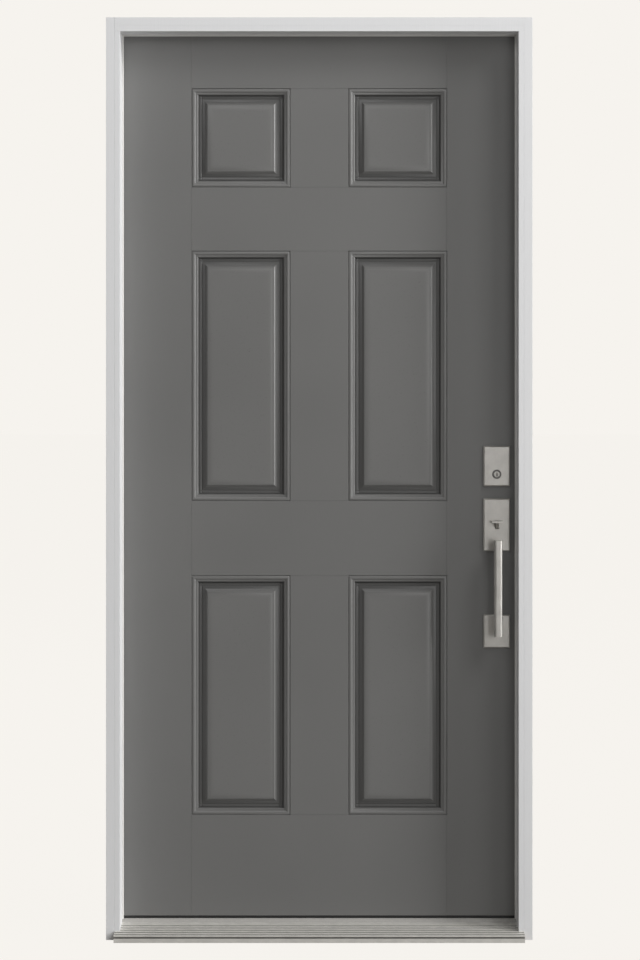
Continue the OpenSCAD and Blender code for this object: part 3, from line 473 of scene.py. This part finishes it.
def material_for(slot):
    """The finish of a record slot, made once, in place of the plain material that came with the frame."""
    if slot not in made_finishes:
        plain = bpy.data.materials.get(slot)
        if plain:
            plain.name = slot + "_plain"
        made_finishes[slot] = FINISHES[slot](bpy.context.scene.door_finish)
    return made_finishes[slot]


def slot_of(node):
    """The record's material slot of a CAD node."""
    return next(s["material_slot"] for s in frame["record"]["subparts"] if s["node"] == node)


def body_of(node):
    """The CAD body that a node belongs to."""
    return NODES[node]["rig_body"]


# ---------------------------------------------------------------- mesh helpers


def paint(obj, material):
    """Gives the object one material."""
    obj.data.materials.clear()
    obj.data.materials.append(material)


def finish_mesh(bm, name, smooth_angle=32, flat_area=None):
    """Makes an object of a bmesh, smooth where its faces meet at less than smooth_angle degrees.

    Faces larger than flat_area, in square metres, keep all their edges sharp.
    """
    mesh = bpy.data.meshes.new(name)
    for face in bm.faces:
        face.smooth = True
    for edge in bm.edges:
        flat = flat_area and any(face.calc_area() > flat_area for face in edge.link_faces)
        edge.smooth = not flat and edge.calc_face_angle(0) < math.radians(smooth_angle)
    bm.to_mesh(mesh)
    bm.free()
    obj = bpy.data.objects.new(name, mesh)
    bpy.context.scene.collection.objects.link(obj)
    return obj


def flat_faces_rule(obj):
    """Lets the large flat faces set the normals along their edges, so that they stay flat."""
    rule = obj.modifiers.new("normals", "WEIGHTED_NORMAL")
    rule.keep_sharp = True


def merged_copy(node):
    """A bmesh of a CAD node with its loose triangles joined into whole faces."""
    bm = bmesh.new()
    bm.from_mesh(NODES[node].data)
    bmesh.ops.remove_doubles(bm, verts=bm.verts, dist=MERGE_GAP)
    bmesh.ops.dissolve_limit(bm, angle_limit=math.radians(LEVEL_ANGLE), verts=bm.verts, edges=bm.edges,
                             use_dissolve_boundaries=False)
    return bm


def round_edges(bm, width, min_length=0.0, min_angle=40, segments=2, test=None):
    """Bevels the convex edges that are long and sharp enough."""
    chosen = [
        e for e in bm.edges
        if len(e.link_faces) == 2 and e.is_convex
        and e.calc_length() >= min_length
        and e.calc_face_angle(0) > math.radians(min_angle)
        and (test is None or test(e))
    ]
    bmesh.ops.bevel(bm, geom=chosen, offset=width, offset_type="OFFSET", segments=segments,
                    profile=0.5, affect="EDGES", clamp_overlap=True, material=-1)


def stand_in(bm, node, slot=None, smooth_angle=32, flat_area=None):
    """Finishes a bmesh as the shown piece of a CAD node, on its body; slot names another finish."""
    obj = finish_mesh(bm, node + "_piece", smooth_angle, flat_area)
    if flat_area is None:
        flat_faces_rule(obj)
    paint(obj, material_for(slot or slot_of(node)))
    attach(obj, body_of(node))
    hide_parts(node)
    return obj


def softened(node, width, min_length=0.0, min_angle=40, segments=2, test=None, smooth_angle=32,
             flat_area=None, slot=None):
    """The CAD node's own shape with its sharp edges rounded."""
    bm = merged_copy(node)
    round_edges(bm, width, min_length, min_angle, segments, test)
    return stand_in(bm, node, slot=slot, smooth_angle=smooth_angle, flat_area=flat_area)


# ---------------------------------------------------------------- operators


class DOOR_OT_stage(bpy.types.Operator):
    """Camera, pale floor, background and soft studio light"""

    bl_idname = "door.stage"
    bl_label = "Stage"

    def execute(self, context):
        studio = context.scene.door_studio
        self.camera(context.scene, studio)
        self.background(context.scene, studio)
        self.floor(studio)
        self.lamp("side", 72, 14, 16, (3.6, 9.0), studio.side_power)
        self.lamp("upper", 48, 45, 6, (1.6, 2.4), studio.upper_power)
        self.lamp("front", 20, 4, 6, (1.6, 2.4), studio.front_power)
        self.lamp("fill", -12, 32, 4, (1.4, 1.4), studio.fill_power)
        self.lamp("back", 215, 35, 6, (2.5, 2.5), studio.back_power)
        context.scene.view_settings.view_transform = "Standard"
        return {"FINISHED"}

    def camera(self, scene, studio):
        data = bpy.data.cameras.new("camera")
        data.lens = studio.lens
        data.sensor_width = 36
        data.shift_x = studio.slide
        data.shift_y = studio.rise
        data.clip_end = 100
        cam = bpy.data.objects.new("camera", data)
        cam.location = (0, -studio.distance, studio.eye_height)
        cam.rotation_euler = Euler((math.radians(90), 0, 0))
        scene.collection.objects.link(cam)
        scene.camera = cam

    def background(self, scene, studio):
        world = bpy.data.worlds.new("studio")
        world.use_nodes = True
        tree = world.node_tree
        tree.nodes.clear()
        out = tree.nodes.new("ShaderNodeOutputWorld")
        seen = tree.nodes.new("ShaderNodeBackground")
        seen.inputs["Color"].default_value = (*studio.backdrop, 1)
        light = tree.nodes.new("ShaderNodeBackground")
        light.inputs["Color"].default_value = (*AMBIENT_TINT, 1)
        light.inputs["Strength"].default_value = studio.ambient
        path = tree.nodes.new("ShaderNodeLightPath")
        mix = tree.nodes.new("ShaderNodeMixShader")
        tree.links.new(path.outputs["Is Camera Ray"], mix.inputs["Fac"])
        tree.links.new(light.outputs[0], mix.inputs[1])
        tree.links.new(seen.outputs[0], mix.inputs[2])
        tree.links.new(mix.outputs[0], out.inputs["Surface"])
        scene.world = world

    def floor(self, studio):
        bm = bmesh.new()
        bmesh.ops.create_grid(bm, x_segments=1, y_segments=1, size=FLOOR_HALF)
        obj = finish_mesh(bm, "floor")
        mat, tree, surface = new_material("floor_paint")
        grain = noise(tree, object_coords(tree), 6)
        pale = tuple(studio.backdrop)
        bounce = studio.floor_bounce
        tone = two_tone(tree, remap(tree, grain, 0, 1), shaded(pale, bounce), shaded(pale, bounce * 1.01))
        tree.links.new(tone, surface.inputs["Base Color"])
        surface.inputs["Roughness"].default_value = 0.9
        surface.inputs["Specular IOR Level"].default_value = 0.1
        glow = tree.nodes.new("ShaderNodeEmission")
        glow.inputs["Color"].default_value = (*pale, 1)
        glow.inputs["Strength"].default_value = studio.floor_level
        share = self.seen_share(tree, studio.floor_glow)
        mix = tree.nodes.new("ShaderNodeMixShader")
        out = node_of(tree, "OUTPUT_MATERIAL")
        tree.links.new(share, mix.inputs["Fac"])
        tree.links.new(surface.outputs["BSDF"], mix.inputs[1])
        tree.links.new(glow.outputs[0], mix.inputs[2])
        tree.links.new(mix.outputs[0], out.inputs["Surface"])
        paint(obj, mat)

    def seen_share(self, tree, amount):
        """amount where a surface is looked at, 0 where it only lights other things."""
        path = tree.nodes.new("ShaderNodeLightPath")
        times = tree.nodes.new("ShaderNodeMath")
        times.operation = "MULTIPLY"
        times.inputs[1].default_value = amount
        tree.links.new(path.outputs["Is Camera Ray"], times.inputs[0])
        return times.outputs[0]

    def lamp(self, name, azimuth, elevation, distance, size, power):
        """A rectangular lamp size wide and high, aimed at the door from azimuth right of its front."""
        turn, climb = math.radians(azimuth), math.radians(elevation)
        away = Vector((math.sin(turn) * math.cos(climb), -math.cos(turn) * math.cos(climb), math.sin(climb)))
        data = bpy.data.lights.new(name, "AREA")
        data.shape = "RECTANGLE"
        data.size, data.size_y = size
        data.energy = power
        obj = bpy.data.objects.new(name, data)
        obj.location = Vector((0, 0, AIM_HEIGHT)) + away * distance
        obj.rotation_mode = "QUATERNION"
        obj.rotation_quaternion = (-away).to_track_quat("-Z", "Y")
        bpy.context.scene.collection.objects.link(obj)


class DOOR_OT_leaf(bpy.types.Operator):
    """The two moulded skins with their raised panels, and the painted edges of the leaf"""

    bl_idname = "door.leaf"
    bl_label = "Leaf"

    def execute(self, context):
        edges = context.scene.door_edges
        for node in SKINS:
            lo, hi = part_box(node)
            outer = {"exterior_skin": lo.y, "interior_skin": hi.y}[node]

            def rim(edge, lo=lo, hi=hi, outer=outer):
                ends = [v.co for v in edge.verts]
                on_face = all(abs(c.y - outer) < ON_PLANE for c in ends)
                on_rim = any(all(abs(c[axis] - side) < ON_PLANE for c in ends)
                             for axis in (0, 2) for side in (lo[axis], hi[axis]))
                return on_face and on_rim

            # the skins take the leaf paint with painted shade down in the mouldings
            softened(node, edges.leaf, 10 * MM, segments=3, test=rim, smooth_angle=24,
                     flat_area=FIELD_AREA, slot="moulded_paint_with_painted_shade")
        for node in LEAF_EDGES:
            stand_in(merged_copy(node), node, slot="leaf_paint")
        return {"FINISHED"}


class DOOR_OT_jambs(bpy.types.Operator):
    """The two jambs and the head, with eased arrises"""

    bl_idname = "door.jambs"
    bl_label = "Jambs and head"

    def execute(self, context):
        edges = context.scene.door_edges
        board_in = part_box("head_jamb")[1].x
        stop_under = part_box("head_jamb")[0].z
        board_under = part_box("head_jamb")[1].z - (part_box("strike_jamb")[1].x - board_in)
        clear = 1 * MM

        def off_the_lines(edge):
            """Not one of the fine V lines of the outer face."""
            ends = [v.co for v in edge.verts]
            front = all(c.y < clear for c in ends)
            on_line = (all(abs(abs(c.x) - board_in) < clear for c in ends)
                       or all(abs(c.z - board_under) < clear for c in ends)
                       or all(abs(c.z - stop_under) < clear and abs(c.x) > abs(board_in) - 15 * MM
                              for c in ends))
            return not (front and on_line)

        for node in ("hinge_jamb", "strike_jamb", "head_jamb"):
            softened(node, edges.wood, 80 * MM, 60, segments=3, test=off_the_lines)
        return {"FINISHED"}


class DOOR_OT_sill(bpy.types.Operator):
    """The ribbed sill and its cap"""

    bl_idname = "door.sill"
    bl_label = "Sill"

    def execute(self, context):
        edges = context.scene.door_edges
        for node in ("sill_extrusion", "sill_cap"):
            softened(node, edges.sill, 200 * MM, 50, segments=2, smooth_angle=8)
        return {"FINISHED"}


class DOOR_OT_seals(bpy.types.Operator):
    """The three weatherstrips"""

    bl_idname = "door.seals"
    bl_label = "Seals"

    def execute(self, context):
        for node in WEATHERSTRIPS:
            stand_in(merged_copy(node), node)
        return {"FINISHED"}


class DOOR_OT_hinges(bpy.types.Operator):
    """Three butt hinges with loose pins"""

    bl_idname = "door.hinges"
    bl_label = "Hinges"

    def execute(self, context):
        for row in HINGE_ROWS:
            for kind in ("jamb_leaf", "door_leaf", "pin"):
                node = f"{row}_hinge_{kind}"
                softened(node, 0.35 * MM, 1.5 * MM, 50, segments=2)
        return {"FINISHED"}


class DOOR_OT_hardware(bpy.types.Operator):
    """What shows of the deadbolt, the handle set and the inside lever"""

    bl_idname = "door.hardware"
    bl_label = "Locks and handles"

    def execute(self, context):
        edges = context.scene.door_edges
        for node in LOCKS_AND_HANDLES:
            softened(node, edges.metal, 2 * MM, 30, segments=2)
        # the cylinder takes the darkened nickel, painted shade in its ring round the plug
        softened("deadbolt_cylinder", edges.metal, 2 * MM, 30, segments=2, slot="cylinder_nickel_in_painted_shade")
        return {"FINISHED"}


class DOOR_OT_finishes(bpy.types.Operator):
    """Gives every CAD node that is still shown its slot's finish"""

    bl_idname = "door.finishes"
    bl_label = "Other finishes"

    def execute(self, context):
        for node, obj in NODES.items():
            paint(obj, material_for(slot_of(node)))
        return {"FINISHED"}


OPERATORS = (DOOR_OT_stage, DOOR_OT_leaf, DOOR_OT_jambs, DOOR_OT_sill, DOOR_OT_seals,
             DOOR_OT_hinges, DOOR_OT_hardware, DOOR_OT_finishes)


class DOOR_PT_sidebar(bpy.types.Panel):
    """Lists the door's pieces and settings"""

    bl_idname = "DOOR_PT_sidebar"
    bl_label = "Panelled front door"
    bl_space_type = "VIEW_3D"
    bl_region_type = "UI"
    bl_category = "Door"

    def draw(self, context):
        for group in (context.scene.door_finish, context.scene.door_edges, context.scene.door_studio):
            box = self.layout.box()
            for name in group.bl_rna.properties.keys():
                if name not in ("rna_type", "name"):
                    box.prop(group, name)
        for operator in OPERATORS:
            self.layout.operator(operator.bl_idname)


SETTINGS = {"door_finish": DoorFinish, "door_edges": DoorEdges, "door_studio": DoorStudio}
CLASSES = (*SETTINGS.values(), *OPERATORS, DOOR_PT_sidebar)


def register():
    for cls in CLASSES:
        bpy.utils.register_class(cls)
    for name, cls in SETTINGS.items():
        setattr(bpy.types.Scene, name, bpy.props.PointerProperty(type=cls))


def unregister():
    for name in SETTINGS:
        delattr(bpy.types.Scene, name)
    for cls in reversed(CLASSES):
        bpy.utils.unregister_class(cls)


def main():
    register()
    for operator in OPERATORS:
        group, name = operator.bl_idname.split(".")
        getattr(getattr(bpy.ops, group), name)()


if __name__ == "__main__":
    main()
